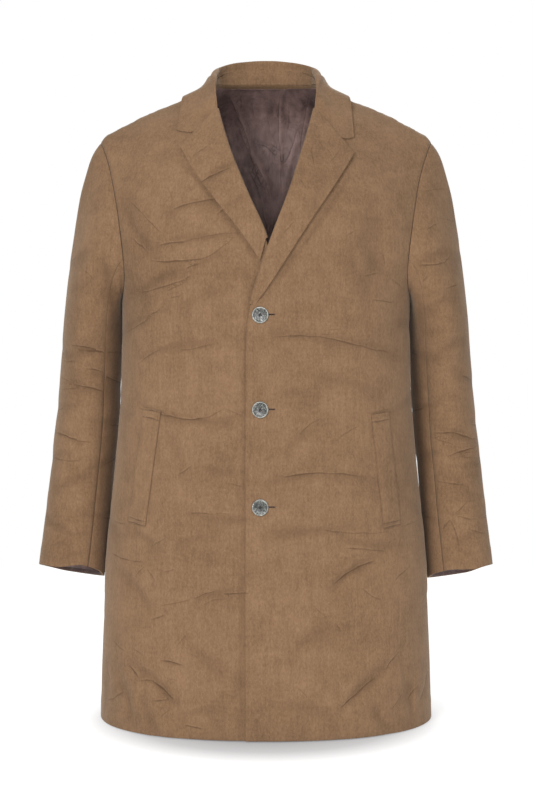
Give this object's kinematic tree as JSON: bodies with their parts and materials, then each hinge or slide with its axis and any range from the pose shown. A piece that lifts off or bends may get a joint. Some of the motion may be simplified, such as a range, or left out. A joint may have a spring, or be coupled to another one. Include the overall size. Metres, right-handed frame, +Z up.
{
  "type": "overcoat",
  "caption": "Knee-length single-breasted overcoat in napped camel-brown wool, notched lapels, three buttons and slanted welt pockets, filled out with no wearer.",
  "frame": {"origin": "midway between the two side-neck points, where the shoulder seams meet the neck seam, on the wearer's shoulders", "axes": "+Z up, -Y towards the coat's front, +X towards the wearer's left"},
  "size_m": [0.6646, 0.2907, 0.9643],
  "materials": {
    "wool": "napped wool cloth with a soft brushed face",
    "lining": "dark mauve-brown satin",
    "button": "marbled grey horn with a pale rim"
  },
  "bodies": {
    "root": {"front_left": "wool", "front_right": "wool", "back": "wool", "top_sleeve_left": "wool", "top_sleeve_right": "wool", "under_sleeve_left": "wool", "under_sleeve_right": "wool", "collar": "wool", "collar_stand": "wool", "lapel_left": "wool", "lapel_right": "wool", "welt_left": "wool", "welt_right": "wool", "back_lining": "lining", "sleeve_lining_left": "lining", "sleeve_lining_right": "lining", "button_1": "button", "button_2": "button", "button_3": "button"}
  },
  "joints": []
}
